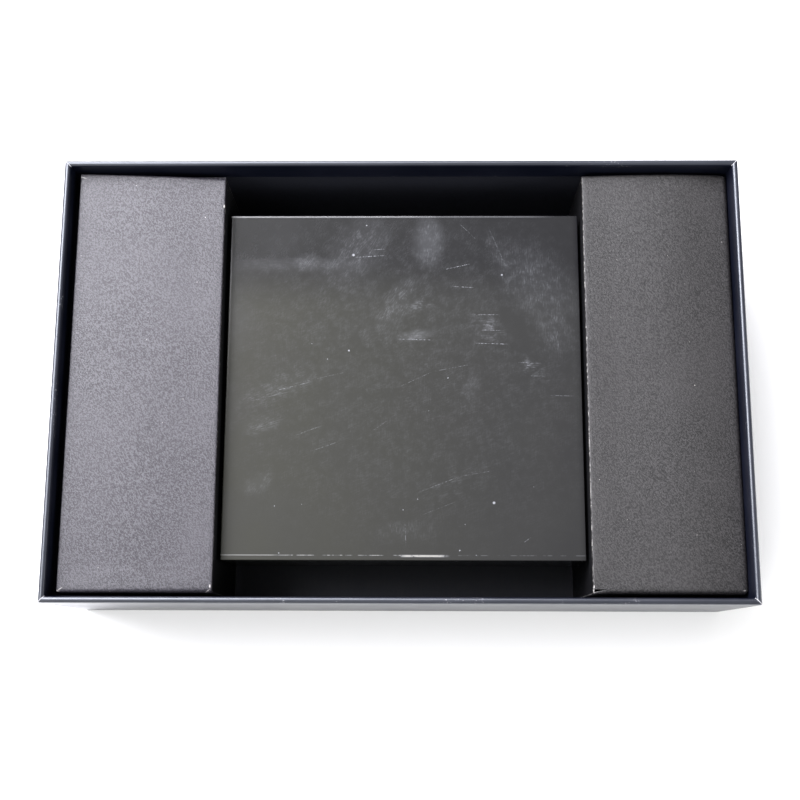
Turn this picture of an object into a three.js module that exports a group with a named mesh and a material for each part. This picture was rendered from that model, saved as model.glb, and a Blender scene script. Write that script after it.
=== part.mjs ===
// An open archival box: a rigid, paper-wrapped tray that holds a lidded inner box between two
// folded card end spacers.
//
// Millimetres. +X runs along the tray's length, +Y to its back, +Z up. The origin is the middle
// of the tray's underside.

import * as THREE from "three";

// ---- driving dimensions ---------------------------------------------------------------------

const TRAY = { length: 350, depth: 228, height: 91, board: 2.5, fold: 1.0, rim: 1.25 };
const INNER = { length: 183, depth: 181.6, x: 1.95, y: -1.1, board: 2.0 };
const LID_TOP = 73.5; // height of the inner lid's top above the surface that the tray stands on
const LID_SKIRT = 40; // how far the inner lid reaches down over its base
const LID_FOLD = 2.0; // outer radius along the inner lid's top edges
const LID_PLAY = 0.5; // running gap between the inner lid and its base, each side and on top

const WRAP = 0.25; // covering paper
const BED = 0.15; // glue bed between paper and board, where the corner stays also lie
const SKIN = WRAP + BED;
const TURN_IN = 15; // width of the wrap where it is turned over an edge
const LINER = 0.2; // lining paper
const SEAM = 0.1; // gap between neighbouring boards or papers
const SHEET = 0.3; // pasted-down paper on an underside
const SHEET_MARGIN = 5; // from that paper's edge to the fold at a box's foot
const SHEET_PASTE = 0.05; // between that paper and the wrap above it
const STAY = { reach: 20, paper: 0.09 }; // corner tape, along each wall from the corner

const SPACER_TOP = 84;
const SPACERS = [
  { name: "left_spacer", x: [-168.2, -91.6], y: [-108.7, 109.5], inward: 1 },
  { name: "right_spacer", x: [95, 170.2], y: [-108.7, 109.5], inward: -1 },
];
const CARD = 0.6; // spacer card
const CREASE = 0.1; // gap where two panels of the card meet
const CARD_ROLL = 2.5; // outer radius where a spacer's top rolls over into its end flaps
const GLUE_FLAP = 15;
const DUST_FLAP = { width: 32, clear: 2 };

const ARC_STEPS = 6; // straight steps in each quarter round
const DEG = Math.PI / 180;

// ---- materials ------------------------------------------------------------------------------

const finish = (color, roughness) => () =>
  new THREE.MeshStandardMaterial({ color, roughness, metalness: 0 });

const blackWrap = finish(0x16181c, 0.4);
const lidWrap = finish(0x1c1c1a, 0.25);
const blackLiner = finish(0x0c0d11, 0.6);
const spacerCard = finish(0x3b3a3c, 0.6);
const greyBoard = finish(0x77736c, 0.9);
const stayPaper = finish(0xb09468, 0.8);

// ---- shape helpers --------------------------------------------------------------------------

function named(name, geometry, material) {
  const mesh = new THREE.Mesh(geometry, material());
  mesh.name = name;
  return mesh;
}

// A box between two values along each axis.
function slab(name, [x0, x1], [y0, y1], [z0, z1], material) {
  const mesh = named(name, new THREE.BoxGeometry(x1 - x0, y1 - y0, z1 - z0), material);
  mesh.position.set((x0 + x1) / 2, (y0 + y1) / 2, (z0 + z1) / 2);
  return mesh;
}

// A closed surface from its corner points and triangles, with its faces turned to point outwards.
function closedSurface(points, triangles) {
  const corner = (index) => new THREE.Vector3(...points[index]);
  const volume = triangles.reduce(
    (sum, [a, b, c]) => sum + corner(a).dot(corner(b).cross(corner(c))),
    0,
  );
  const outward = triangles.map(([a, b, c]) => (volume < 0 ? [a, c, b] : [a, b, c]));
  const geometry = new THREE.BufferGeometry();
  geometry.setAttribute("position", new THREE.Float32BufferAttribute(points.flat(), 3));
  geometry.setIndex(outward.flat());
  const flat = geometry.toNonIndexed();
  flat.computeVertexNormals();
  return flat;
}

// Points of a quarter round in [inset, height], from one angle to another.
function arc([inset, height], radius, from, to) {
  return Array.from({ length: ARC_STEPS + 1 }, (_, step) => {
    const angle = (from + ((to - from) * step) / ARC_STEPS) * DEG;
    return [inset + radius * Math.cos(angle), height + radius * Math.sin(angle)];
  });
}

// Sweeps a profile of [inset, height] points round a rectangle, with mitred corners. A closed
// profile makes a loop. An open one is filled at both ends.
function swept({ length, depth }, profile, closed) {
  const rings = profile.map(([inset, height]) => {
    const x = length / 2 - inset;
    const y = depth / 2 - inset;
    return [
      [-x, -y, height],
      [x, -y, height],
      [x, y, height],
      [-x, y, height],
    ];
  });
  const count = rings.length;
  const triangles = [];
  for (let ring = 0; ring < (closed ? count : count - 1); ring += 1) {
    const next = (ring + 1) % count;
    for (let side = 0; side < 4; side += 1) {
      const turn = (side + 1) % 4;
      const [a, b, c, d] = [4 * ring + side, 4 * ring + turn, 4 * next + turn, 4 * next + side];
      triangles.push([a, b, c], [a, c, d]);
    }
  }
  if (!closed) {
    const last = 4 * (count - 1);
    triangles.push([0, 2, 1], [0, 3, 2]);
    triangles.push([last, last + 1, last + 2], [last, last + 2, last + 3]);
  }
  return closedSurface(rings.flat(), triangles);
}

// A straight bar of the same kind of profile along one side, with mitred ends.
function mitredBar(along, across, quarterTurns, profile) {
  const outline = profile.map((point) => new THREE.Vector2(...point));
  if (THREE.ShapeUtils.isClockWise(outline)) outline.reverse();
  const points = [-1, 1].flatMap((end) =>
    outline.map(({ x: inset, y: height }) => [
      end * (along / 2 - inset - SEAM),
      inset - across / 2,
      height,
    ]),
  );
  const count = outline.length;
  const caps = THREE.ShapeUtils.triangulateShape(outline, []).flatMap(([a, b, c]) => [
    [a, b, c],
    [a + count, c + count, b + count],
  ]);
  const sides = outline.flatMap((_, point) => {
    const next = (point + 1) % count;
    return [
      [next, point, point + count],
      [next, point + count, next + count],
    ];
  });
  return closedSurface(points, [...caps, ...sides]).rotateZ((quarterTurns * Math.PI) / 2);
}

// ---- rigid box: V-grooved boards, wrapped in paper ------------------------------------------

const thickness = (box) => box.board + 2 * SKIN;

// The line that lies a given depth under the wrap's face, from the underside's fold, up the
// outside, over the rim and down the inside.
function faceLine(box, depth) {
  const wall = thickness(box);
  return {
    fold: arc([box.fold, box.base + box.fold], box.fold - depth, 270, 180),
    over: [
      ...arc([box.rim, box.height - box.rim], box.rim - depth, 180, 90),
      ...arc([wall - box.rim, box.height - box.rim], box.rim - depth, 90, 0),
    ],
  };
}

// The wrap. Around an open underside it is turned in like the rim. Otherwise it covers the face.
function wrapPaper(box, material) {
  const wall = thickness(box);
  const side = (depth) => {
    const line = faceLine(box, depth);
    const start = box.covered ? [] : [[TURN_IN, box.base + depth]];
    return [...start, ...line.fold, ...line.over, [wall - depth, box.height - TURN_IN]];
  };
  const profile = [...side(0), ...side(WRAP).reverse()];
  return named(`${box.name}_wrap`, swept(box, profile, !box.covered), material);
}

function boards(box) {
  const { fold, over } = faceLine(box, SKIN);
  const mitre = fold.length / 2;
  const floor = box.base + SKIN + box.board;
  const grooveFoot = [SKIN + box.board, floor];
  const lower = [...fold.slice(0, Math.ceil(mitre)), grooveFoot].map(([inset, height]) => [
    inset + SEAM,
    height,
  ]);
  const wallProfile = [...fold.slice(Math.floor(mitre)), ...over, grooveFoot].map(
    ([inset, height], index, all) =>
      index === 0 || index === all.length - 1 ? [inset, height + SEAM] : [inset, height],
  );
  const wall = (side, along, across, turns) =>
    named(`${box.name}_${side}_board`, mitredBar(along, across, turns, wallProfile), greyBoard);
  return [
    named(`${box.name}_${box.covered ? "top" : "base"}_board`, swept(box, lower, false), greyBoard),
    wall("front", box.length, box.depth, 0),
    wall("right", box.depth, box.length, 1),
    wall("back", box.length, box.depth, 2),
    wall("left", box.depth, box.length, 3),
  ];
}

function linings(box, material) {
  const wall = thickness(box);
  const floor = box.base + SKIN + box.board + SEAM;
  const x = box.length / 2 - wall - SEAM;
  const y = box.depth / 2 - wall - SEAM;
  const foot = floor + LINER + SEAM;
  const top = box.height - TURN_IN - SEAM;
  const strip = [
    [wall - LINER, foot],
    [wall, foot],
    [wall, top],
    [wall - LINER, top],
  ];
  const flat = box.covered ? "top" : "floor";
  return [
    slab(`${box.name}_${flat}_liner`, [-x, x], [-y, y], [floor, floor + LINER], material),
    named(`${box.name}_wall_liner`, swept(box, strip, true), material),
  ];
}

// The paper pasted over the turned-in wrap on an underside, on which the box stands.
function underside(box, material) {
  const x = box.length / 2 - box.fold - SHEET_MARGIN;
  const y = box.depth / 2 - box.fold - SHEET_MARGIN;
  return slab(`${box.name}_underside_paper`, [-x, x], [-y, y], [0, SHEET], material);
}

// Paper tape round each upright corner, between the boards and the wrap.
function cornerStays(box) {
  const margin = (BED - STAY.paper) / 2;
  const outer = WRAP + margin;
  const inner = outer + STAY.paper;
  const low = box.base + box.fold;
  const high = box.height - box.rim;
  const corners = { front_left: 0, front_right: 1, back_right: 2, back_left: 3 };
  return Object.entries(corners).map(([corner, turns]) => {
    const [along, across] = turns % 2 ? [box.depth, box.length] : [box.length, box.depth];
    const [x, y] = [-along / 2, -across / 2];
    const shape = new THREE.Shape([
      new THREE.Vector2(x + outer, y + outer),
      new THREE.Vector2(x + outer + STAY.reach, y + outer),
      new THREE.Vector2(x + outer + STAY.reach, y + inner),
      new THREE.Vector2(x + inner, y + inner),
      new THREE.Vector2(x + inner, y + outer + STAY.reach),
      new THREE.Vector2(x + outer, y + outer + STAY.reach),
    ]);
    const geometry = new THREE.ExtrudeGeometry(shape, {
      depth: high - low,
      bevelEnabled: false,
    });
    geometry.translate(0, 0, low).rotateZ((turns * Math.PI) / 2);
    return named(`${box.name}_${corner}_corner_stay`, geometry, stayPaper);
  });
}

function rigidBox(box, wrapMaterial) {
  const group = new THREE.Group();
  group.add(wrapPaper(box, wrapMaterial), ...boards(box), ...linings(box, blackLiner));
  return group;
}

// ---- the tray -------------------------------------------------------------------------------

const tray = { ...TRAY, name: "tray", base: SHEET + SHEET_PASTE, covered: false };
const trayFloor = tray.base + SKIN + tray.board + 2 * SEAM + LINER;

function makeTray() {
  const group = rigidBox(tray, blackWrap);
  group.add(underside(tray, blackWrap), ...cornerStays(tray));
  return group;
}

// ---- the inner box and its lid --------------------------------------------------------------

function makeInnerLid() {
  const lid = {
    ...INNER,
    name: "inner_lid",
    height: LID_SKIRT,
    fold: LID_FOLD,
    rim: TRAY.rim,
    base: 0,
    covered: true,
  };
  const group = rigidBox(lid, lidWrap);
  group.scale.z = -1; // a lid is the same box the other way up
  group.position.set(INNER.x, INNER.y, LID_TOP);
  return group;
}

function makeInnerBase() {
  const shrink = 2 * (thickness(INNER) + LID_PLAY);
  const lidCeiling = LID_TOP - SKIN - INNER.board - SEAM - LINER - LID_PLAY;
  const base = {
    name: "inner_base",
    length: INNER.length - shrink,
    depth: INNER.depth - shrink,
    board: INNER.board,
    height: lidCeiling - trayFloor,
    fold: TRAY.fold,
    rim: TRAY.rim,
    base: SHEET + SHEET_PASTE,
    covered: false,
  };
  const group = rigidBox(base, blackWrap);
  group.add(underside(base, blackWrap));
  group.position.set(INNER.x, INNER.y, trayFloor);
  return group;
}

// ---- the end spacers: glued cartons of folded card ------------------------------------------

// A panel with the given outline in [y, z], between two values of x.
function crosswise(name, [x0, x1], outline) {
  const shape = new THREE.Shape(outline.map((point) => new THREE.Vector2(...point)));
  const geometry = new THREE.ExtrudeGeometry(shape, { depth: x1 - x0, bevelEnabled: false });
  const [x, y, z] = [
    new THREE.Vector3(1, 0, 0),
    new THREE.Vector3(0, 1, 0),
    new THREE.Vector3(0, 0, 1),
  ];
  geometry.applyMatrix4(new THREE.Matrix4().makeBasis(y, z, x)).translate(x0, 0, 0);
  return named(name, geometry, spacerCard);
}

function makeSpacer({ name, x: [x0, x1], y: [y0, y1], inward }) {
  const group = new THREE.Group();
  const low = trayFloor + CREASE;
  const step = CARD + CREASE; // from one panel's face to the face of the next panel in
  const panel = (part, xs, ys, zs) => group.add(slab(`${name}_${part}`, xs, ys, zs, spacerCard));
  const sides = (onLowSide, onHighSide) =>
    inward > 0
      ? { inner: onHighSide, outer: onLowSide }
      : { inner: onLowSide, outer: onHighSide };

  // The top's front and back ends roll over into the end flaps, and the walls follow the roll.
  const shoulder = SPACER_TOP - CARD_ROLL;
  const rollLine = (depth) => [
    ...arc([y1 - CARD_ROLL, shoulder], CARD_ROLL - depth, 0, 90),
    ...arc([y0 + CARD_ROLL, shoulder], CARD_ROLL - depth, 90, 180),
  ];
  const topOutline = [...rollLine(0), ...rollLine(CARD).reverse()];
  const wallOutline = [...rollLine(step), [y0 + step, low + step], [y1 - step, low + step]];
  group.add(crosswise(`${name}_top_panel`, [x0, x1], topOutline));
  for (const [side, xs] of Object.entries(sides([x0, x0 + CARD], [x1 - CARD, x1])))
    group.add(crosswise(`${name}_${side}_wall`, xs, wallOutline));

  panel("bottom_panel", [x0, x1], [y0 + step, y1 - step], [low, low + CARD]);
  const { outer: glued } = sides([x0 + step, x0 + step + CARD], [x1 - step - CARD, x1 - step]);
  const betweenFlaps = [y0 + 2 * step + CARD, y1 - 2 * step - CARD];
  panel("glue_flap", glued, betweenFlaps, [low + step, low + step + GLUE_FLAP]);

  const dustWidths = sides([x0 + step, x0 + DUST_FLAP.width], [x1 - DUST_FLAP.width, x1 - step]);
  const dustHeight = [low + step + DUST_FLAP.clear, shoulder - DUST_FLAP.clear];
  const ends = {
    front: { flap: [y0, y0 + CARD], dust: [y0 + step, y0 + step + CARD] },
    back: { flap: [y1 - CARD, y1], dust: [y1 - step - CARD, y1 - step] },
  };
  for (const [end, { flap, dust }] of Object.entries(ends)) {
    panel(`${end}_end_flap`, [x0, x1], flap, [low, shoulder - CREASE]);
    for (const [side, xs] of Object.entries(dustWidths))
      panel(`${end}_${side}_dust_flap`, xs, dust, dustHeight);
  }
  return group;
}

// ---- the whole object -----------------------------------------------------------------------

const archivalBox = new THREE.Group();
archivalBox.add(makeTray(), makeInnerBase(), makeInnerLid(), ...SPACERS.map(makeSpacer));

export default archivalBox;
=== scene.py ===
"""The looks of an open archival box: a wrapped tray, two card end spacers and a scuffed inner box."""

import math

import bmesh
import bpy
import numpy as np
from mathutils import Matrix, Vector, noise


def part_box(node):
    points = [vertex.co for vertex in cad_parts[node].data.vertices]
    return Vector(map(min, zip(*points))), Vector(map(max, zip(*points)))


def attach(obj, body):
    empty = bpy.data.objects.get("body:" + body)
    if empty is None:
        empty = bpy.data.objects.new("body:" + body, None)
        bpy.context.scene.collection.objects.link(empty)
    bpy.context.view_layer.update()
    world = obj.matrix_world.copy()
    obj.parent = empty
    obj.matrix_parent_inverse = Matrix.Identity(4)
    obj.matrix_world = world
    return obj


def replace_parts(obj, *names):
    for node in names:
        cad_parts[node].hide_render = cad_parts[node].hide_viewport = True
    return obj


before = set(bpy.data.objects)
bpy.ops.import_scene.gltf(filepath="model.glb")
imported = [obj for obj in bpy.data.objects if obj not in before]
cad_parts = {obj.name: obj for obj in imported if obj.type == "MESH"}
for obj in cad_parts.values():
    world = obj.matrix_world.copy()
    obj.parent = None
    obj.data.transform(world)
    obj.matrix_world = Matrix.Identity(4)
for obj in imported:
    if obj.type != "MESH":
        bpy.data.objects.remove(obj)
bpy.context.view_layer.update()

# ---- sizes, in metres -----------------------------------------------------------------------

MM = 0.001
WRAP = 0.25 * MM  # covering paper
TURN_IN = 15 * MM  # the wrap, turned over an edge
CARD = 0.6 * MM  # spacer card
TRAY_WALL = 3.3 * MM
INNER_WALL = 2.8 * MM
EDGE_ROUND = 0.5 * MM  # outer radius of paper folded over an edge of board
SMALLEST_RADIUS = 0.15 * MM
FOLD_RISE = 0.12 * MM  # of the folds over the rim's corners
FOLD_WIDTH = 0.34 * MM
SCRATCH = 0.22 * MM  # half the width of a thin scratch
WAVE = 0.2 * MM  # how far paper and card wander from true
GAPE = 1.7 * MM  # of the split in the right spacer's card, at its wide end
CROWN = 0.7 * MM  # how much higher a spacer's top is along its middle
SHARP_ANGLE = 50  # degrees above which two faces meet in a sharp edge
FLOOR_SIZE = 12

CAMERA_AT = Vector((0.0085, -0.1399, 0.6921))
CAMERA_FORWARD = Vector((-0.0132, 0.2055, -0.9786))
CAMERA_RIGHT = Vector((0.9999, 0.0037, -0.0127))
LENS = 55.48  # millimetres


# ---- meshes ---------------------------------------------------------------------------------


def new_piece(name, points, faces, wear=None):
    """A mesh object, smooth except where its faces meet at a sharp angle. wear is kept at each point."""
    mesh = bpy.data.meshes.new(name)
    mesh.from_pydata([tuple(p) for p in points], [], faces)
    if wear is not None:
        kept = mesh.attributes.new("wear", "FLOAT", "POINT")
        kept.data.foreach_set("value", np.asarray(wear, np.float32))
    graph = bmesh.new()
    graph.from_mesh(mesh)
    bmesh.ops.recalc_face_normals(graph, faces=graph.faces)
    graph.to_mesh(mesh)
    graph.free()
    mesh.shade_smooth()
    mesh.set_sharp_from_angle(angle=math.radians(SHARP_ANGLE))
    piece = bpy.data.objects.new(name, mesh)
    bpy.context.scene.collection.objects.link(piece)
    return piece


def grid_faces(rows, columns, closed_rows=False, closed_columns=False):
    """Quads of a grid whose points run row by row."""
    return [
        (
            r * columns + c,
            r * columns + (c + 1) % columns,
            (r + 1) % rows * columns + (c + 1) % columns,
            (r + 1) % rows * columns + c,
        )
        for r in range(rows if closed_rows else rows - 1)
        for c in range(columns if closed_columns else columns - 1)
    ]


def arc_points(centre, radius, start, end, steps):
    """Points on part of a circle, from one angle in degrees to another."""
    angles = np.radians(np.linspace(start, end, steps + 1))
    return [(centre[0] + radius * math.cos(a), centre[1] + radius * math.sin(a)) for a in angles]


def points_between(start, end, steps):
    """The points that divide the line from start to end into equal steps, without its ends."""
    return [tuple(a + (b - a) * step / steps for a, b in zip(start, end)) for step in range(1, steps)]


def wander(point, size, seed):
    """A smooth random value from -1 to 1, which changes over a distance of size."""
    return noise.noise(Vector(point) / size + Vector((seed * 17.3, seed * 5.1, seed * 9.7)))


# ---- paper wrapped round a rigid box --------------------------------------------------------

CORNER_STEPS = 6
FOLD_STEPS = 8  # round the fold between the wrap's side and its flat end
RIM_STEPS = 9
SIDE_STEPS = (56, 40)
UPRIGHT_STEPS = 14
INSIDE_STEPS = 5
COVER_STEPS = 24  # over a lid's flat top
BENEATH_STEPS = 4  # along the turn-in under a box
MIDDLE_GAP = 0.3 * MM  # from a lid's middle line to the closing face of its cover
BESIDE_FOLD = 1 * MM  # from the last fold to the first row of the flat end

FOOT_WEAR = 0.8
RIM_WEAR = 1.0
TURN_IN_WEAR = 0.6
CORNER_WEAR = 0.9

SETTLE_LENGTH = 55 * MM  # over which the settling of a face changes
SETTLE_POWER = 6  # keeps each settling to the outside of its own two faces
EDGE_HOLD = 0.75  # how much less the edges settle than the faces


def ring(half_x, half_y, radius):
    """Points round a rectangle with round corners, from its front left, and which are on a corner."""
    arcs = []
    for sx, sy, start in ((-1, -1, 180), (1, -1, 270), (1, 1, 0), (-1, 1, 90)):
        centre = (sx * (half_x - radius), sy * (half_y - radius))
        arcs.append(arc_points(centre, radius, start, start + 90, CORNER_STEPS))
    points, on_corner = [], []
    for index, arc in enumerate(arcs):
        side = points_between(arc[-1], arcs[(index + 1) % 4][0], SIDE_STEPS[index % 2])
        points += arc + side
        on_corner += [True] * len(arc) + [False] * len(side)
    return points, on_corner


def wrap_side(height, wall, start, depth):
    """The wrap's face, or the line a given depth under it, from its flat end to its turn-in.

    Its points are (inset, height, wear). start holds the insets of its flat end.
    """
    rim = wall / 2
    inside = wall - depth
    shoulder, end = height - rim, height - TURN_IN
    runs = [
        ([(inset, depth) for inset in start], 0.0),
        (arc_points((EDGE_ROUND, EDGE_ROUND), EDGE_ROUND - depth, 270, 180, FOLD_STEPS), FOOT_WEAR),
        (points_between((depth, EDGE_ROUND), (depth, shoulder), UPRIGHT_STEPS), 0.0),
        (arc_points((rim, shoulder), rim - depth, 180, 0, 2 * RIM_STEPS), RIM_WEAR),
        (points_between((inside, shoulder), (inside, end), INSIDE_STEPS), 0.0),
        ([(inside, end)], TURN_IN_WEAR),
    ]
    return [(*point, wear) for points, wear in runs for point in points]


def make_wrap(name, node, body, wall, covered, seed):
    """A box's covering paper.

    covered is for a lid: the paper lies over its whole top, and the lid is the other way up.
    """
    low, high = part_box(node)
    centre, half = (low + high) / 2, (high - low) / 2
    height = high.z - low.z
    if covered:
        start = np.linspace(half.y - MIDDLE_GAP, EDGE_ROUND + BESIDE_FOLD, COVER_STEPS)
    else:
        start = np.linspace(TURN_IN, EDGE_ROUND + BESIDE_FOLD, BENEATH_STEPS)
    profile = wrap_side(height, wall, start, 0) + wrap_side(height, wall, start, WRAP)[::-1]
    points, wear = [], []
    for inset, up, worn in profile:
        flat, on_corner = ring(half.x - inset, half.y - inset, max(EDGE_ROUND - inset, SMALLEST_RADIUS))
        z = high.z - up if covered else low.z + up
        points += [Vector((centre.x + x, centre.y + y, z)) for x, y in flat]
        at_corner = CORNER_WEAR if inset < wall / 3 else 0.0
        wear += [max(worn, at_corner if here else 0.0) for here in on_corner]
    columns = len(points) // len(profile)
    faces = grid_faces(len(profile), columns, closed_rows=not covered, closed_columns=True)
    if covered:
        last = (len(profile) - 1) * columns
        faces += [tuple(range(columns)), tuple(range(last, last + columns))]
    for point in points:
        settle(point, centre, half, seed)
    piece = new_piece(name, points, faces, wear)
    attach(piece, body)
    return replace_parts(piece, node)


def settle(point, centre, half, seed):
    """Moves a point of the paper a little inwards, as board is never quite true. Edges hardly move."""
    offset = point - centre
    shares = [(abs(offset[axis]) / half[axis]) ** SETTLE_POWER for axis in range(3)]
    for axis in range(3):
        amount = WAVE * (0.6 + 0.4 * wander(offset, SETTLE_LENGTH, seed + axis))
        beside = max(shares[axis - 1], shares[axis - 2])
        point[axis] -= math.copysign(amount * shares[axis] * (1 - EDGE_HOLD * beside), offset[axis])


def make_corner_folds(name, node, body, wall):
    """The rubbed folds where the wrap's papers meet over the four corners of the rim."""
    low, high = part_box(node)
    centre, half = (low + high) / 2, (high - low) / 2
    height = high.z - low.z
    side = wrap_side(height, wall, [], 0)
    over = [(inset, up) for inset, up, _ in side if up > height - wall / 2 and inset < wall]
    rows = len(over)
    points, faces = [], []
    for sx, sy in ((-1, -1), (1, -1), (1, 1), (-1, 1)):
        along = Vector((sx, -sy, 0)).normalized()
        outward = Vector((sx, sy, 0)).normalized()
        first = len(points)
        for step, (inset, up) in enumerate(over):
            cut = inset + max(EDGE_ROUND - inset, SMALLEST_RADIUS) * (1 - math.sqrt(0.5))
            base = Vector((centre.x + sx * (half.x - cut), centre.y + sy * (half.y - cut), low.z + up))
            tilt = math.pi * (step / (rows - 1) - 0.5)
            normal = Vector((0, 0, math.cos(tilt))) - outward * math.sin(tilt)
            crest = base + normal * FOLD_RISE * max(-0.05, math.sin(tilt))
            foot = base - normal * WRAP
            for offset, place in ((-1, foot), (-0.5, crest), (0.5, crest), (1, foot)):
                points.append(place + along * offset * FOLD_WIDTH * (0.6 + 0.4 * math.cos(tilt)))
        block = grid_faces(rows, 4, closed_columns=True)
        block += [(0, 1, 2, 3), tuple((rows - 1) * 4 + k for k in (3, 2, 1, 0))]
        faces += [tuple(first + k for k in face) for face in block]
    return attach(new_piece(name, points, faces), body)


# ---- folded card ----------------------------------------------------------------------------

ROLL_STEPS = 8
FLAP_STEPS = 10
TOP_STEPS = 90
CREASE_STEPS = 5
WIDTH_STEPS = 44
WALL_ROWS = 14

CREASE_WEAR_WIDTH = 0.8 * MM
HELD_BY_CREASE = 14 * MM  # from a crease to where the top sags freely
FLAP_SINK = 0.1 * MM
WALL_BOW = 0.25 * MM
TEAR_PULL = Vector((0, -0.9, -0.6))  # forward and down, in shares of GAPE
TEAR_WEAR = 0.8


def card_sheet(name, outer, inward, faces, wear, face_material):
    """A closed sheet of card: its outer face, the same face moved inwards, and pale cut edges."""
    count = len(outer)
    inner = [p + d * CARD for p, d in zip(outer, inward)]
    edges = {(a, b) for face in faces for a, b in zip(face, face[1:] + face[:1])}
    cut = [(b, a, a + count, b + count) for a, b in sorted(edges) if (b, a) not in edges]
    inside = [tuple(k + count for k in reversed(face)) for face in faces]
    piece = new_piece(name, outer + inner, faces + inside + cut, wear + [0.0] * count)
    piece.data.materials.append(face_material)
    piece.data.materials.append(CORE)
    for index in range(len(faces) + len(inside), len(piece.data.polygons)):
        piece.data.polygons[index].material_index = 1
    return piece


def quarter_turn(steps):
    """(cosine, sine) of the angles from 90 degrees down to 0."""
    return [(math.cos(a), math.sin(a)) for a in np.radians(np.linspace(90, 0, steps + 1))]


def card_path(y0, y1, top, foot, front_roll, back_roll):
    """Points (y, z, normal y, normal z) from the front flap's foot, over the top, to the back flap's."""
    up = [foot + (top - front_roll - foot) * s / FLAP_STEPS for s in range(FLAP_STEPS)]
    down = [foot + (top - back_roll - foot) * (1 - s / FLAP_STEPS) for s in range(1, FLAP_STEPS + 1)]
    start, end = y0 + front_roll, y1 - back_roll
    turn = quarter_turn(ROLL_STEPS)
    path = [(y0, z, -1.0, 0.0) for z in up]
    path += [(start - front_roll * c, top - front_roll * (1 - s), -c, s) for c, s in turn[::-1]]
    path += [(start + (end - start) * s / TOP_STEPS, top, 0.0, 1.0) for s in range(1, TOP_STEPS)]
    path += [(end + back_roll * c, top - back_roll * (1 - s), c, s) for c, s in turn]
    return path + [(y1, z, 1.0, 0.0) for z in down]


def card_width(x0, x1, left_roll, right_roll):
    """Points (x, drop, sideways, upright) across a spacer's top, from its left crease to its right one."""
    turn = quarter_turn(CREASE_STEPS)
    start, end = x0 + left_roll, x1 - right_roll
    across = [(start - left_roll * c, left_roll * (1 - s), -c, s) for c, s in turn[::-1]]
    across += [(start + (end - start) * s / WIDTH_STEPS, 0.0, 0.0, 1.0) for s in range(1, WIDTH_STEPS)]
    return across + [(end + right_roll * c, right_roll * (1 - s), c, s) for c, s in turn]


def make_spacer(name, rolls, skew, slump, lean, torn, seed, face_material):
    """A spacer's outside: its top with both end flaps, and its two long walls.

    rolls are the radii of the creases: along the inner and outer sides, and those of the ends as (at the
    inner side, at the outer side). skew moves the ends at the inner side, slump lowers the outer side,
    lean moves it outwards, and torn is the length of the split.
    """
    low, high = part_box(f"{name}_top_panel")
    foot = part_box(f"{name}_front_end_flap")[0].z
    inner_on_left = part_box(f"{name}_inner_wall")[0].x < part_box(f"{name}_outer_wall")[0].x
    sides = ("inner", "outer") if inner_on_left else ("outer", "inner")
    across = card_width(low.x, high.x, *(rolls[side] for side in sides))
    paths = []
    for x, _, _, _ in across:
        share = (x - low.x) / (high.x - low.x)
        inner = 1 - share if inner_on_left else share
        front, back = (rolls[end][0] * inner + rolls[end][1] * (1 - inner) for end in ("front", "back"))
        y0, y1 = low.y + skew["front"] * inner, high.y + skew["back"] * inner
        top = high.z - CROWN * (1 - math.sin(math.pi * share)) - slump * max(0.0, 1 - 2 * inner) ** 2
        paths.append(card_path(y0, y1, top, foot, front, back))
    rows, columns = len(paths[0]), len(across)
    points, inward, wear = [], [], []
    for row in range(rows):
        for (x, drop, sideways, upright), path in zip(across, paths):
            y, z, ny, nz = path[row]
            sink = drop + sag((x, y, z), low, high, nz, seed)
            outer = (x - low.x if inner_on_left else high.x - x) / (high.x - low.x)
            aside = (1 if inner_on_left else -1) * leaning(y, low, high, lean) * outer**3
            points.append(Vector((x + aside, y - ny * sink, z - nz * sink)))
            inward.append(Vector((-sideways, -ny * upright, -nz * upright)))
            wear.append(max(0.0, 1 - min(x - low.x, high.x - x) / CREASE_WEAR_WIDTH))
    faces = grid_faces(rows, columns)
    if torn:
        faces = tear(points, inward, wear, faces, columns, 0 if inner_on_left else columns - 1, torn)
    top = card_sheet(f"{name}_card", points, inward, faces, wear, face_material)
    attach(top, name)
    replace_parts(top, f"{name}_top_panel", f"{name}_front_end_flap", f"{name}_back_end_flap")
    for side, path in zip(sides, (paths[0], paths[-1])):
        wall_lean = lean if side == "outer" else (0, 0)
        make_card_wall(name, side, path, rolls[side], wall_lean, seed)


def leaning(y, low, high, lean):
    """How far a spacer's outer edge stands out sideways at y. lean is how far at its front and back."""
    return lean[0] + (lean[1] - lean[0]) * (y - low.y) / (high.y - low.y)


def sag(point, low, high, upward, seed):
    """How far the card lies under its nominal face: a slightly wavy top, and flaps that are nearly flat."""
    x, y, _ = point
    margin = min(x - low.x, high.x - x, y - low.y, high.y - y)
    hold = min(1.0, max(margin, 0.0) / HELD_BY_CREASE)
    waves = 1.3 * wander(point, 60 * MM, seed) + 0.5 * wander(point, 20 * MM, seed)
    return upward * WAVE * (1.4 + waves) * hold + (1 - upward) * FLAP_SINK


def tear(points, inward, wear, faces, columns, edge_column, length):
    """Splits the card along the front roll, from its inner edge, and pulls the roll forward and down."""
    row = FLAP_STEPS + ROLL_STEPS
    edge_x = points[row * columns + edge_column].x
    moved = {}
    for column in range(columns):
        index = row * columns + column
        gape = 1 - abs(points[index].x - edge_x) / length
        if gape <= 0:
            continue
        pull = TEAR_PULL * gape * GAPE
        for step in range(1, ROLL_STEPS):
            points[index - step * columns] += pull * (1 - step / ROLL_STEPS)
        moved[index] = len(points)
        points.append(points[index] + pull)
        inward.append(inward[index])
        wear.append(TEAR_WEAR)
    return [tuple(moved.get(k, k) for k in face) if min(face) // columns < row else face for face in faces]


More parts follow.
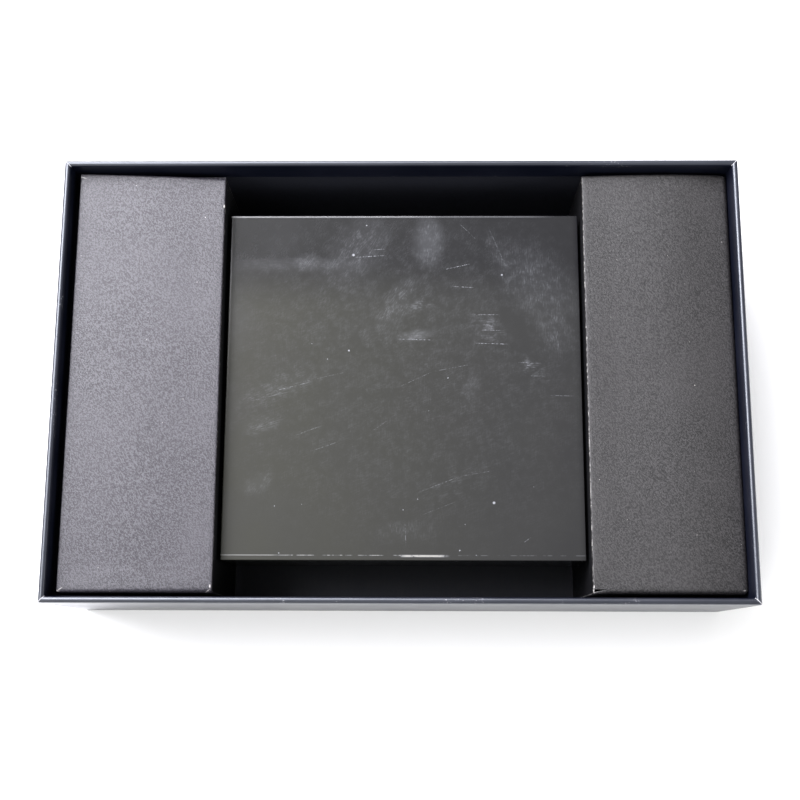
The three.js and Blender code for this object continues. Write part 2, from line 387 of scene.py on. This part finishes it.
def make_card_wall(spacer, side, path, crease, lean, seed):
    """One long upright wall of a spacer, slightly bowed. Its top follows the path of the card above it."""
    node = f"{spacer}_{side}_wall"
    low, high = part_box(node)
    outward = math.copysign(1, (low + high).x - sum(b.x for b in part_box(f"{spacer}_top_panel")))
    face_x = high.x if outward > 0 else low.x
    over_top = path[FLAP_STEPS:-FLAP_STEPS]
    columns = len(over_top)
    points, wear = [], []
    for row in range(WALL_ROWS):
        rise = row / (WALL_ROWS - 1)
        for column, (y, z, ny, nz) in enumerate(over_top):
            up = low.z + (z - nz * crease - low.z) * row / (WALL_ROWS - 1)
            hold = math.sin(math.pi * rise) * math.sin(math.pi * column / (columns - 1))
            bow = hold * (WALL_BOW + WAVE * wander((face_x, y, z), 50 * MM, seed))
            aside = leaning(y, low, high, lean) * rise**2 - bow
            points.append(Vector((face_x + outward * aside, y - ny * crease, up)))
            wear.append(1.0 if row == WALL_ROWS - 1 else 0.0)
    faces = grid_faces(WALL_ROWS, columns)
    inward = [Vector((-outward, 0, 0))] * len(points)
    # The wall's card is the darker copy of the spacer card: painted shade.
    wall = card_sheet(f"{spacer}_{side}_card", points, inward, faces, wear, WALL_CARD_PAINTED_SHADE)
    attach(wall, spacer)
    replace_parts(wall, node)


# ---- materials ------------------------------------------------------------------------------


class Graph:
    """A material's nodes. Each method adds one node, or a few, and returns the socket to use."""

    def __init__(self, name, roughness=0.5, specular=0.5):
        self.material = bpy.data.materials.new(name)
        self.material.use_nodes = True
        self.tree = self.material.node_tree
        self.shader = self.tree.nodes["Principled BSDF"]
        self.shader.inputs["Roughness"].default_value = roughness
        self.shader.inputs["Specular IOR Level"].default_value = specular
        self.place = self.add("ShaderNodeTexCoord", output="Object")

    def add(self, kind, inputs=None, output=0, **settings):
        node = self.tree.nodes.new(kind)
        for key, value in settings.items():
            setattr(node, key, value)
        for key, value in (inputs or {}).items():
            if isinstance(value, bpy.types.NodeSocket):
                self.tree.links.new(value, node.inputs[key])
            else:
                node.inputs[key].default_value = value
        return node.outputs[output]

    def maths(self, operation, *values, clamp=False):
        return self.add("ShaderNodeMath", dict(enumerate(values)), operation=operation, use_clamp=clamp)

    def moved(self, location=(0, 0, 0), angle=0.0, scale=(1, 1, 1)):
        """Places in a frame at location, turned by angle in degrees, whose axes are scale long."""
        inputs = {
            "Vector": self.place,
            "Location": location,
            "Rotation": (0, 0, math.radians(angle)),
            "Scale": scale,
        }
        return self.add("ShaderNodeMapping", inputs, vector_type="TEXTURE")

    def noise(self, size, detail=2.0, roughness=0.5, vector=None):
        """Noise whose blobs are about size metres across."""
        inputs = {
            "Vector": vector or self.place,
            "Scale": 1 / size,
            "Detail": detail,
            "Roughness": roughness,
        }
        return self.add("ShaderNodeTexNoise", inputs, output="Fac")

    def ramp(self, value, low, high, to_low=0.0, to_high=1.0):
        inputs = {"Value": value, "From Min": low, "From Max": high, "To Min": to_low, "To Max": to_high}
        return self.add("ShaderNodeMapRange", inputs, interpolation_type="SMOOTHSTEP")

    def mix(self, factor, a, b):
        """Colours a and b, mixed. The node has colour sockets of its own, after those for plain numbers."""
        node = self.tree.nodes.new("ShaderNodeMix")
        node.data_type = "RGBA"
        for key, value in ((0, factor), (6, a), (7, b)):
            if isinstance(value, bpy.types.NodeSocket):
                self.tree.links.new(value, node.inputs[key])
            else:
                node.inputs[key].default_value = (*value, 1.0) if key else value
        return node.outputs[2]

    def split(self, vector):
        """The three parts of a vector."""
        node = self.tree.nodes.new("ShaderNodeSeparateXYZ")
        self.tree.links.new(vector, node.inputs[0])
        return tuple(node.outputs)

    def oval(self, at, half_sizes, angle=0.0, edge=1.1, core=0.15):
        """1 in the middle of an oval around a place, 0 outside it."""
        local = self.moved(at, angle, half_sizes)
        away = self.add("ShaderNodeVectorMath", {0: local}, output="Value", operation="LENGTH")
        return self.ramp(away, edge, core)

    def inset(self, value, low, high):
        """How far a value lies inside the nearer of two limits."""
        above, below = self.maths("SUBTRACT", value, low), self.maths("SUBTRACT", high, value)
        return self.maths("MINIMUM", above, below)

    def wear(self):
        return self.add("ShaderNodeAttribute", output="Fac", attribute_name="wear")

    def bump(self, height, distance, strength=1.0, under=None):
        inputs = {"Height": height, "Distance": distance, "Strength": strength}
        if under:
            inputs["Normal"] = under
        return self.add("ShaderNodeBump", inputs)

    def done(self, colour=None, roughness=None, normal=None):
        for key, socket in (("Base Color", colour), ("Roughness", roughness), ("Normal", normal)):
            if isinstance(socket, bpy.types.NodeSocket):
                self.tree.links.new(socket, self.shader.inputs[key])
        return self.material


# The wrap's sheen outside and inside its walls. The lower sheen inside is painted shade on the inner walls.
OUTSIDE_SHEEN = 0.95
INSIDE_SHEEN = 0.4


def black_wrap(name, node, wall, dark, light, roughness):
    """Smooth black covering paper: a fine tooth, faint clouding, and pale fibres where it is rubbed.

    Its sheen is lower inside the box, which a wall parts from its outside: painted shade on the inner
    walls.
    """
    g = Graph(name)
    g.shader.inputs["Specular Tint"].default_value = (0.90, 0.94, 1.0, 1.0)
    low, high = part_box(node)
    x, y, _ = g.split(g.place)
    inset = g.maths("MINIMUM", g.inset(x, low.x, high.x), g.inset(y, low.y, high.y))
    # Painted shade: the sheen is lower inside the walls.
    sheen = g.ramp(inset, wall - 0.6 * MM, wall - 0.1 * MM, OUTSIDE_SHEEN, INSIDE_SHEEN)
    g.tree.links.new(sheen, g.shader.inputs["Specular IOR Level"])
    cloud = g.noise(35 * MM, 3, 0.6)
    tooth = g.noise(0.5 * MM, 3, 0.7)
    colour = g.mix(g.ramp(cloud, 0.3, 0.7), dark, light)
    speck = g.ramp(g.noise(1.1 * MM, 3, 0.6), 0.60, 0.68)
    patchy = g.ramp(g.noise(24 * MM, 2), 0.55, 0.72)
    worn = g.maths("MULTIPLY", g.maths("MULTIPLY", speck, patchy), g.maths("POWER", g.wear(), 2.0))
    worn = g.maths("MULTIPLY", worn, 0.6)
    colour = g.mix(worn, colour, (0.42, 0.41, 0.42))
    rough = g.ramp(cloud, 0.25, 0.75, roughness - 0.03, roughness + 0.04)
    rough = g.maths("ADD", rough, g.maths("MULTIPLY", worn, 0.3))
    soft = g.bump(g.noise(9 * MM, 2), 0.25 * MM, 0.12)
    return g.done(colour, rough, g.bump(tooth, 0.02 * MM, 0.2, soft))


def plain_paper(name, dark, light, roughness, tooth_depth=0.05 * MM):
    """Uncoated paper: fibres and slight clouding."""
    g = Graph(name)
    fibre = g.noise(0.8 * MM, 5, 0.7, g.moved(scale=(1, 3, 1)))
    cloud = g.noise(22 * MM, 3, 0.6)
    shade = g.maths("ADD", g.maths("MULTIPLY", fibre, 0.7), g.maths("MULTIPLY", cloud, 0.3))
    colour = g.mix(g.ramp(shade, 0.35, 0.65), dark, light)
    rough = g.ramp(fibre, 0.3, 0.7, roughness - 0.06, roughness + 0.06)
    return g.done(colour, rough, g.bump(fibre, tooth_depth, 0.5))


def spacer_card(name, dark, light, crack, roughness, specular, scars=()):
    """Black card with a fibrous grain. Its creases crack pale: crack is how much, from 0 to 1.

    Scars are rubbed places: where, half sizes and turn.
    """
    g = Graph(name, specular=specular)
    grain = g.noise(0.75 * MM, 3, 0.7)
    fibre = g.noise(0.5 * MM, 2, 0.6, g.moved(angle=35, scale=(1, 3, 1)))
    cloud = g.noise(48 * MM, 3, 0.55)
    shade = g.maths("ADD", g.maths("MULTIPLY", grain, 0.6), g.maths("MULTIPLY", fibre, 0.4))
    colour = g.mix(g.ramp(shade, 0.43, 0.57), dark, light)
    haze = g.maths("MULTIPLY", g.ramp(cloud, 0.35, 0.75), 0.35)
    colour = g.mix(haze, colour, light)
    dust = g.ramp(g.noise(1.1 * MM, 1), 0.80, 0.84)
    colour = g.mix(g.maths("MULTIPLY", dust, 0.7), colour, (0.6, 0.58, 0.55))
    broken = g.ramp(g.noise(2.2 * MM, 4, 0.75), 0.68 - 0.36 * crack, 0.80 - 0.26 * crack)
    edge = g.ramp(g.wear(), 0.55, 1.0)
    cracked = g.maths("MULTIPLY", g.maths("MULTIPLY", edge, broken), 0.75)
    for at, half_sizes, angle in scars:
        scar = g.oval(at, half_sizes, angle, 1.0, 0.4)
        cracked = g.maths("MAXIMUM", cracked, g.maths("MULTIPLY", scar, 0.7))
    colour = g.mix(cracked, colour, (0.55, 0.53, 0.51))
    rough = g.ramp(shade, 0.3, 0.7, roughness + 0.05, roughness - 0.07)
    soft = g.bump(g.noise(12 * MM, 2), 0.6 * MM, 0.15)
    return g.done(colour, rough, g.bump(shade, 0.3 * MM, 1.0, soft))


# Rubbed places on the spacers: middle (x, y) and half sizes (x, y), in millimetres from the front left
# corner, and turn in degrees.
LEFT_SCARS = [
    (0.6, 0.9, 1.3, 0.40, -8),
    (2.0, 1.9, 1.8, 0.20, 30),
    (75.6, 3.4, 0.5, 1.1, 0),
    (74.4, 1.0, 2.0, 0.20, 35),
    (76.2, 200.0, 0.45, 1.2, 0),
    (1.5, 216.0, 2.4, 0.22, -14),
]
RIGHT_SCARS = [
    (0.6, 1.2, 0.9, 0.40, 15),
    (0.4, 3.6, 0.3, 1.0, 0),
    (74.2, 2.0, 1.1, 0.3, 0),
]


def spacer_scars(spacer, scars):
    """The scars of one spacer, as places, half sizes and turns."""
    low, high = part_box(f"{spacer}_top_panel")
    corner = Vector((low.x, low.y, high.z))
    return [
        (corner + Vector((x, y, -1)) * MM, (half_x * MM, half_y * MM, 5 * MM), angle)
        for x, y, half_x, half_y, angle in scars
    ]


# Rubbed patches on the inner lid: direction of the strokes, middle (u, v), half sizes, turn, strength of
# the strokes and of the haze under them. u and v run from 0 to 1, to the right and to the front.
LID_SCUFFS = [
    (80, 0.570, 0.080, 0.095, 0.055, 88, 0.26, 0.060),
    (58, 0.370, 0.100, 0.150, 0.090, 52, 0.17, 0.022),
    (58, 0.480, 0.270, 0.110, 0.045, 60, 0.20, 0.018),
    (58, 0.220, 0.140, 0.050, 0.030, 0, 0.24, 0.024),
    (0, 0.200, 0.150, 0.260, 0.028, 0, 0.10, 0.022),
    (0, 0.735, 0.335, 0.060, 0.040, -40, 0.52, 0.012),
    (0, 0.545, 0.272, 0.050, 0.022, 0, 0.34, 0.010),
    (0, 0.860, 0.455, 0.075, 0.026, -38, 0.36, 0.0),
    (90, 0.880, 0.200, 0.170, 0.110, -52, 0.20, 0.020),
    (90, 0.930, 0.360, 0.080, 0.060, -60, 0.20, 0.012),
    (90, 0.770, 0.110, 0.080, 0.030, -62, 0.22, 0.012),
    (8, 0.535, 0.360, 0.065, 0.020, 8, 0.30, 0.055),
    (58, 0.690, 0.510, 0.060, 0.030, 70, 0.14, 0.012),
    (22, 0.160, 0.510, 0.150, 0.045, 20, 0.16, 0.010),
    (22, 0.100, 0.620, 0.065, 0.035, 20, 0.20, 0.014),
    (58, 0.100, 0.785, 0.055, 0.032, 30, 0.20, 0.014),
    (22, 0.640, 0.800, 0.130, 0.050, 25, 0.08, 0.0),
    (90, 0.500, 0.920, 0.110, 0.035, 0, 0.13, 0.006),
    (22, 0.500, 0.500, 0.800, 0.600, 0, 0.060, 0.0),
    (90, 0.500, 0.500, 0.800, 0.600, 0, 0.045, 0.0),
    (58, 0.500, 0.200, 0.700, 0.350, 0, 0.060, 0.0),
]

# Thin scratches on the inner lid: from (u, v), to (u, v), strength.
LID_SCRATCHES = [
    (0.490, 0.510, 0.580, 0.467, 0.22),
    (0.580, 0.467, 0.690, 0.445, 0.18),
    (0.130, 0.525, 0.245, 0.495, 0.26),
    (0.180, 0.505, 0.350, 0.465, 0.12),
    (0.060, 0.555, 0.200, 0.520, 0.12),
    (0.540, 0.812, 0.660, 0.765, 0.20),
    (0.660, 0.765, 0.750, 0.750, 0.14),
    (0.550, 0.875, 0.650, 0.835, 0.12),
    (0.410, 0.640, 0.460, 0.605, 0.12),
    (0.200, 0.650, 0.280, 0.620, 0.18),
    (0.245, 0.695, 0.320, 0.668, 0.18),
    (0.610, 0.165, 0.690, 0.147, 0.55),
    (0.700, 0.383, 0.800, 0.386, 0.42),
    (0.690, 0.299, 0.770, 0.299, 0.32),
    (0.720, 0.345, 0.780, 0.346, 0.30),
    (0.640, 0.215, 0.700, 0.218, 0.46),
    (0.660, 0.025, 0.710, 0.075, 0.24),
    (0.745, 0.040, 0.790, 0.150, 0.16),
    (0.480, 0.371, 0.585, 0.374, 0.46),
    (0.910, 0.535, 0.975, 0.537, 0.22),
    (0.820, 0.440, 0.890, 0.442, 0.22),
    (0.840, 0.478, 0.900, 0.480, 0.22),
    (0.360, 0.127, 0.450, 0.121, 0.46),
    (0.410, 0.104, 0.445, 0.102, 0.34),
    (0.505, 0.895, 0.508, 0.960, 0.28),
    (0.830, 0.950, 0.850, 0.935, 0.22),
]

# Specks of dust on the inner lid: middle (u, v) and radius in millimetres.
LID_SPECKS = [
    (0.355, 0.120, 0.95), (0.392, 0.030, 0.50), (0.750, 0.840, 0.95), (0.655, 0.972, 0.50),
    (0.345, 0.405, 0.65), (0.240, 0.385, 0.32), (0.285, 0.430, 0.40), (0.570, 0.580, 0.28),
    (0.145, 0.850, 0.35), (0.160, 0.980, 0.40), (0.670, 0.900, 0.30), (0.540, 0.830, 0.32),
    (0.500, 0.860, 0.36), (0.860, 0.795, 0.28), (0.220, 0.845, 0.25), (0.780, 0.180, 0.70),
    (0.625, 0.485, 0.45), (0.700, 0.985, 0.30),
]


def lid_paper(name):
    """The inner lid's satin black paper, rubbed, scratched and dusty, with painted light and shade."""
    g = Graph(name, specular=0.45)
    low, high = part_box("inner_lid_wrap")
    width = high.x - low.x

    def on_lid(u, v):
        """A place on the lid's top: u from left to right and v from back to front, 0 to 1."""
        return Vector((low.x + u * width, high.y - v * (high.y - low.y), high.z))

    def patch(u, v, long, wide, angle):
        """A soft oval, with half sizes in shares of the lid's width."""
        return g.oval(on_lid(u, v), (long * width, wide * width, 1.0), angle)

    def line(u0, v0, u1, v1):
        """A thin scratch from one place to another."""
        start, along = on_lid(u0, v0), on_lid(u1, v1) - on_lid(u0, v0)
        turn = math.degrees(math.atan2(along.y, along.x))
        x, y, _ = g.split(g.moved(start, turn, (along.length, SCRATCH, 1.0)))
        past = g.maths("ABSOLUTE", g.maths("SUBTRACT", x, 0.5))
        return g.maths("MULTIPLY", g.ramp(past, 0.54, 0.30), g.ramp(g.maths("ABSOLUTE", y), 1.0, 0.2))

    strokes = {}
    for angle in sorted({scuff[0] for scuff in LID_SCUFFS}):
        grain = g.noise(0.50 * MM, 3, 0.7, g.moved(angle=angle, scale=(7, 1, 1)))
        strokes[angle] = g.ramp(grain, 0.40, 0.85)
    clumps = g.ramp(g.noise(5 * MM, 4, 0.75), 0.36, 0.70)
    marks = 0.0
    for angle, u, v, long, wide, turn, stroke, haze in LID_SCUFFS:
        texture = g.maths("MULTIPLY", strokes[angle], clumps)
        texture = g.maths("MULTIPLY_ADD", texture, stroke, haze)
        marks = g.maths("MULTIPLY_ADD", texture, patch(u, v, long, wide, turn), marks)
    clean = g.ramp(patch(0.815, 0.335, 0.11, 0.035, -58), 0.0, 0.7, 1.0, 0.15)
    marks = g.maths("MULTIPLY", marks, clean)
    broken = g.ramp(g.noise(1.1 * MM, 3, 0.8), 0.42, 0.62)
    scratches = 0.0
    for *ends, strength in LID_SCRATCHES:
        scratches = g.maths("MULTIPLY_ADD", line(*ends), strength, scratches)
    marks = g.maths("MULTIPLY_ADD", scratches, broken, marks)
    marks = g.maths("MULTIPLY", marks, facing_up(g))
    # The worn front edge, and a painted highlight along the back edge.
    edges = lid_edge_wear_and_highlight(g, low, high)
    marks = g.maths("ADD", marks, edges, clamp=True)
    marks = g.maths("MAXIMUM", marks, lid_dust(g, on_lid))

    x, y, _ = g.split(g.place)
    cloud = g.noise(40 * MM, 3, 0.55)
    # Painted light: the base is lighter and warmer towards the left, a painted reflection of the window
    # light.
    base = g.mix(g.ramp(x, high.x, low.x), (0.015, 0.015, 0.0155), (0.027, 0.027, 0.022))
    base = g.mix(g.maths("MULTIPLY", g.ramp(cloud, 0.3, 0.7), 0.35), base, (0.019, 0.019, 0.018))
    # Painted shade: the base is darker along the back of the lid.
    back = g.ramp(y, high.y - 0.30 * width, high.y - 0.12 * width)
    base = g.mix(g.maths("MULTIPLY", back, 0.8), base, (0.006, 0.006, 0.0075))
    # Colour of the marks: pale wear, dust and scratches, and the painted highlight on the back edge.
    pale_marks_and_highlight_colour = g.mix(edges, (0.36, 0.37, 0.40), (0.36, 0.34, 0.28))
    colour = g.mix(marks, base, pale_marks_and_highlight_colour)
    rough = g.maths("MULTIPLY_ADD", marks, 0.35, g.ramp(cloud, 0.3, 0.7, 0.13, 0.17))
    soft = g.bump(g.noise(14 * MM, 2), 0.2 * MM, 0.08)
    # Painted shade: less sheen within 4 mm of the lid's left and right sides, beside the spacers.
    sheen = g.ramp(g.inset(x, low.x, high.x), 0, 4 * MM, 0.22, 0.45)
    g.tree.links.new(sheen, g.shader.inputs["Specular IOR Level"])
    return g.done(colour, rough, g.bump(g.noise(0.4 * MM, 2), 0.02 * MM, 0.12, soft))


def facing_up(g):
    """1 on faces that look up, 0 on the others."""
    return g.ramp(g.split(g.add("ShaderNodeNewGeometry", output="Normal"))[2], 0.6, 0.9)


def lid_edge_wear_and_highlight(g, low, high):
    """Pale lines: worn through along the lid's front edge, and a painted highlight along its back edge."""
    x, y, z = g.split(g.place)
    width = high.x - low.x
    top = g.ramp(z, high.z - 2.6 * MM, high.z - 1.6 * MM)
    dashes = g.ramp(g.noise(5 * MM, 3, 0.75, g.moved(scale=(1, 40, 40))), 0.46, 0.60)

    def line(at, half_width):
        away = g.maths("ABSOLUTE", g.maths("SUBTRACT", y, at))
        return g.ramp(away, half_width, half_width * 0.4)

    def stretch(start, end, fade=6 * MM):
        """1 between two places along the lid, which are shares of its width."""
        middle, half = low.x + (start + end) / 2 * width, (end - start) / 2 * width
        away = g.maths("ABSOLUTE", g.maths("SUBTRACT", x, middle))
        return g.ramp(away, half, half - fade)

    front = low.y + 2.6 * MM
    dashed = g.maths("MULTIPLY", stretch(0.1, 0.66, 20 * MM), dashes)
    solid = g.maths("MAXIMUM", stretch(-0.1, 0.17), dashed)
    solid = g.maths("MAXIMUM", solid, g.maths("MULTIPLY", dashes, 0.25))
    along_front = g.maths("MULTIPLY", g.maths("MULTIPLY", line(front, 0.24 * MM), solid), 0.42)
    ragged = g.ramp(g.noise(2.5 * MM, 3, 0.7), 0.30, 0.50)
    patch = g.maths("MULTIPLY", line(front - 0.3 * MM, 0.70 * MM), stretch(0.48, 0.63))
    patch = g.maths("MULTIPLY", g.maths("MULTIPLY", patch, ragged), 0.62)
    # Painted highlight along the back edge's rounding: strong on the left, fading to the right.
    strong = g.maths("MULTIPLY", stretch(-0.2, 0.72, 45 * MM), 0.26)
    faint = g.maths("MULTIPLY", stretch(0.3, 0.95, 20 * MM), 0.12)
    back_edge_highlight = g.maths("MULTIPLY", line(high.y - 0.7 * MM, 0.60 * MM), g.maths("MAXIMUM", strong, faint))
    parts = g.maths("MAXIMUM", g.maths("MAXIMUM", along_front, patch), back_edge_highlight)
    return g.maths("MULTIPLY", parts, top)


def lid_dust(g, on_lid):
    """A few round specks of dust."""
    result = 0.0
    for u, v, radius in LID_SPECKS:
        speck = g.oval(on_lid(u, v), [radius * MM] * 3, edge=1.0, core=0.35)
        result = g.maths("MAXIMUM", g.maths("MULTIPLY", speck, 0.55), result)
    return result


def pale_fold(name):
    """Rubbed paper edge: grey with dark gaps."""
    g = Graph(name, roughness=0.45)
    gaps = g.ramp(g.noise(0.9 * MM, 3, 0.7), 0.38, 0.55)
    return g.done(g.mix(gaps, (0.05, 0.05, 0.055), (0.45, 0.45, 0.47)), None, g.bump(gaps, 0.05 * MM, 0.4))


# ---- camera, light and floor ----------------------------------------------------------------


def make_camera():
    data = bpy.data.cameras.new("camera")
    data.lens = LENS
    data.clip_start = 0.01
    camera = bpy.data.objects.new("camera", data)
    bpy.context.scene.collection.objects.link(camera)
    back = -CAMERA_FORWARD.normalized()
    right = (CAMERA_RIGHT - back * CAMERA_RIGHT.dot(back)).normalized()
    turn = Matrix((right, back.cross(right), back)).transposed().to_4x4()
    camera.matrix_world = Matrix.Translation(CAMERA_AT) @ turn
    bpy.context.scene.camera = camera


DAYLIGHT = (0.94, 0.935, 1.0)

# The room's brightness, from one part of a direction to another, and what it is at both.
ROOM_SIDEWAYS = (-0.45, 0.35, 1.6, 0.5)
ROOM_UPWARDS = (0.1, 0.55, 0.2, 1.0)


def add_softbox(name, at, aim, size, radiance, colour=(1, 1, 1)):
    data = bpy.data.lights.new(name, "AREA")
    data.shape = "RECTANGLE"
    data.size, data.size_y = size
    data.energy = radiance * math.pi * size[0] * size[1]
    data.color = colour
    lamp = bpy.data.objects.new(name, data)
    lamp.location = at
    lamp.rotation_euler = (Vector(aim) - Vector(at)).to_track_quat("-Z", "Y").to_euler()
    bpy.context.scene.collection.objects.link(lamp)


def make_studio():
    """Two windows, behind and on the left, and a room that is brighter there and dark near the floor."""
    add_softbox("back_window", (-0.62, 1.10, 1.30), (0, 0, 0.05), (1.4, 1.0), 15.0, DAYLIGHT)
    add_softbox("left_window", (-0.85, 0.36, 1.40), (0, 0, 0.05), (0.75, 0.8), 16.0, DAYLIGHT)
    add_softbox("front_left_fill", (-1.3, -1.2, 0.9), (0, -0.2, 0), (0.9, 0.8), 4.5)
    add_softbox("right_fill", (1.6, -0.7, 0.7), (0.2, 0, 0), (1.2, 0.7), 7.5)
    world = bpy.data.worlds.new("studio")
    world.use_nodes = True
    nodes, links = world.node_tree.nodes, world.node_tree.links
    place = nodes.new("ShaderNodeTexCoord")
    split = nodes.new("ShaderNodeSeparateXYZ")
    links.new(place.outputs["Generated"], split.inputs[0])
    parts = []
    for axis, values in ((0, ROOM_SIDEWAYS), (2, ROOM_UPWARDS)):
        ramp = nodes.new("ShaderNodeMapRange")
        for key, value in zip(("From Min", "From Max", "To Min", "To Max"), values):
            ramp.inputs[key].default_value = value
        links.new(split.outputs[axis], ramp.inputs["Value"])
        parts.append(ramp.outputs[0])
    product = nodes.new("ShaderNodeMath")
    product.operation = "MULTIPLY"
    for index, part in enumerate(parts):
        links.new(part, product.inputs[index])
    links.new(product.outputs[0], nodes["Background"].inputs["Strength"])
    nodes["Background"].inputs["Color"].default_value = (1.0, 1.0, 1.0, 1.0)
    bpy.context.scene.world = world
    view = bpy.context.scene.view_settings
    view.view_transform = "Standard"
    view.look = "None"


def make_floor():
    bpy.ops.mesh.primitive_plane_add(size=FLOOR_SIZE, location=(0, 0, 0))
    floor = bpy.context.object
    floor.name = "floor"
    g = Graph("floor_white", roughness=0.6, specular=0.3)
    tint = g.ramp(g.noise(0.4, 2), 0.3, 0.7)
    floor.data.materials.append(g.done(g.mix(tint, (0.86, 0.86, 0.86), (0.88, 0.88, 0.88))))


# ---- the object -----------------------------------------------------------------------------

TRAY_BLACK = black_wrap(
    "tray_black_paper",
    "tray_wrap",
    TRAY_WALL,
    dark=(0.0025, 0.0035, 0.009),
    light=(0.005, 0.006, 0.013),
    roughness=0.36,
)
BASE_BLACK = black_wrap(
    "inner_base_black_paper",
    "inner_base_wrap",
    INNER_WALL,
    dark=(0.007, 0.007, 0.009),
    light=(0.012, 0.012, 0.014),
    roughness=0.34,
)
# Painted shade: the lining is coloured very dark and navy, for the shade in the gaps between the parts.
LINING_PAINTED_SHADE = plain_paper("black_lining_paper_painted_shade", (0.0018, 0.0028, 0.0075), (0.0040, 0.0052, 0.0120), 0.66)
# Painted light: the left spacer's card is coloured lighter than the right one's, for the window light on
# it. Its cracks and scars are its own.
LEFT_CARD_PAINTED_LIT = spacer_card(
    "left_spacer_black_card_painted_lit",
    dark=(0.008, 0.007, 0.011),
    light=(0.052, 0.049, 0.058),
    crack=0.2,
    roughness=0.45,
    specular=0.44,
    scars=spacer_scars("left_spacer", LEFT_SCARS),
)
# Painted shade: the right spacer's card is coloured darker than the left one's. Its cracks and scars are
# its own.
RIGHT_CARD_PAINTED_SHADE = spacer_card(
    "right_spacer_black_card_painted_shade",
    dark=(0.002, 0.0018, 0.002),
    light=(0.032, 0.030, 0.031),
    crack=0.65,
    roughness=0.45,
    specular=0.50,
    scars=spacer_scars("right_spacer", RIGHT_SCARS),
)
# Painted shade: the spacers' long walls get a much darker, duller copy of the card, for the shade they
# stand in.
WALL_CARD_PAINTED_SHADE = spacer_card(
    "spacer_wall_black_card_painted_shade",
    dark=(0.002, 0.002, 0.003),
    light=(0.006, 0.006, 0.007),
    crack=0.4,
    roughness=0.65,
    specular=0.15,
)
CORE = plain_paper("card_core", (0.30, 0.29, 0.28), (0.52, 0.50, 0.48), 0.8)
GREYBOARD = plain_paper("greyboard", (0.26, 0.25, 0.23), (0.42, 0.40, 0.37), 0.85, 0.1 * MM)
STAY = plain_paper("stay_paper", (0.42, 0.32, 0.20), (0.56, 0.44, 0.29), 0.75)
FOLD = pale_fold("rubbed_fold")
LID = lid_paper("inner_lid_satin_paper")


def paint(piece, material):
    piece.data.materials.clear()
    piece.data.materials.append(material)
    return piece


def make_tray():
    wrap = make_wrap("tray_paper_wrap", "tray_wrap", "tray", TRAY_WALL, covered=False, seed=1)
    paint(wrap, TRAY_BLACK)
    folds = make_corner_folds("tray_corner_folds", "tray_wrap", "tray", TRAY_WALL)
    paint(folds, FOLD)


def make_inner_box():
    base = make_wrap(
        "inner_base_paper_wrap", "inner_base_wrap", "inner_base", INNER_WALL, covered=False, seed=2
    )
    paint(base, BASE_BLACK)
    lid = make_wrap("inner_lid_paper_wrap", "inner_lid_wrap", "inner_lid", INNER_WALL, covered=True, seed=3)
    paint(lid, LID)


def make_left_spacer():
    rolls = {
        "inner": 0.65 * MM,
        "outer": 0.65 * MM,
        "front": (2.6 * MM, 1.8 * MM),
        "back": (2.6 * MM, 0.7 * MM),
    }
    skew = {"front": 0, "back": -2.0 * MM}
    make_spacer("left_spacer", rolls, skew, slump=0, lean=(0, 0), torn=0, seed=4, face_material=LEFT_CARD_PAINTED_LIT)


def make_right_spacer():
    """This one has slumped and leans out along its outer side, and is split at its front inner corner."""
    rolls = {
        "inner": 0.65 * MM,
        "outer": 2.4 * MM,
        "front": (2.4 * MM, 2.6 * MM),
        "back": (1.6 * MM, 2.0 * MM),
    }
    skew = {"front": 0, "back": -1.2 * MM}
    make_spacer(
        "right_spacer",
        rolls,
        skew,
        slump=2.4 * MM,
        lean=(1.25 * MM, 0.8 * MM),
        torn=7 * MM,
        seed=5,
        face_material=RIGHT_CARD_PAINTED_SHADE,
    )


def cad_material(name):
    """The material of a CAD node: by the end of its name where that tells, or else by its start."""
    for ending, material in (("_board", GREYBOARD), ("_corner_stay", STAY), ("_liner", LINING_PAINTED_SHADE)):
        if name.endswith(ending):
            return material
    bodies = (
        ("left_spacer", LEFT_CARD_PAINTED_LIT),
        ("right_spacer", RIGHT_CARD_PAINTED_SHADE),
        ("inner_lid", LID),
        ("inner_base", BASE_BLACK),
    )
    for body, material in bodies:
        if name.startswith(body):
            return material
    return TRAY_BLACK


make_camera()
make_studio()
make_floor()
make_tray()
make_inner_box()
make_left_spacer()
make_right_spacer()
for name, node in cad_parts.items():
    node.material_slots[0].material = cad_material(name)
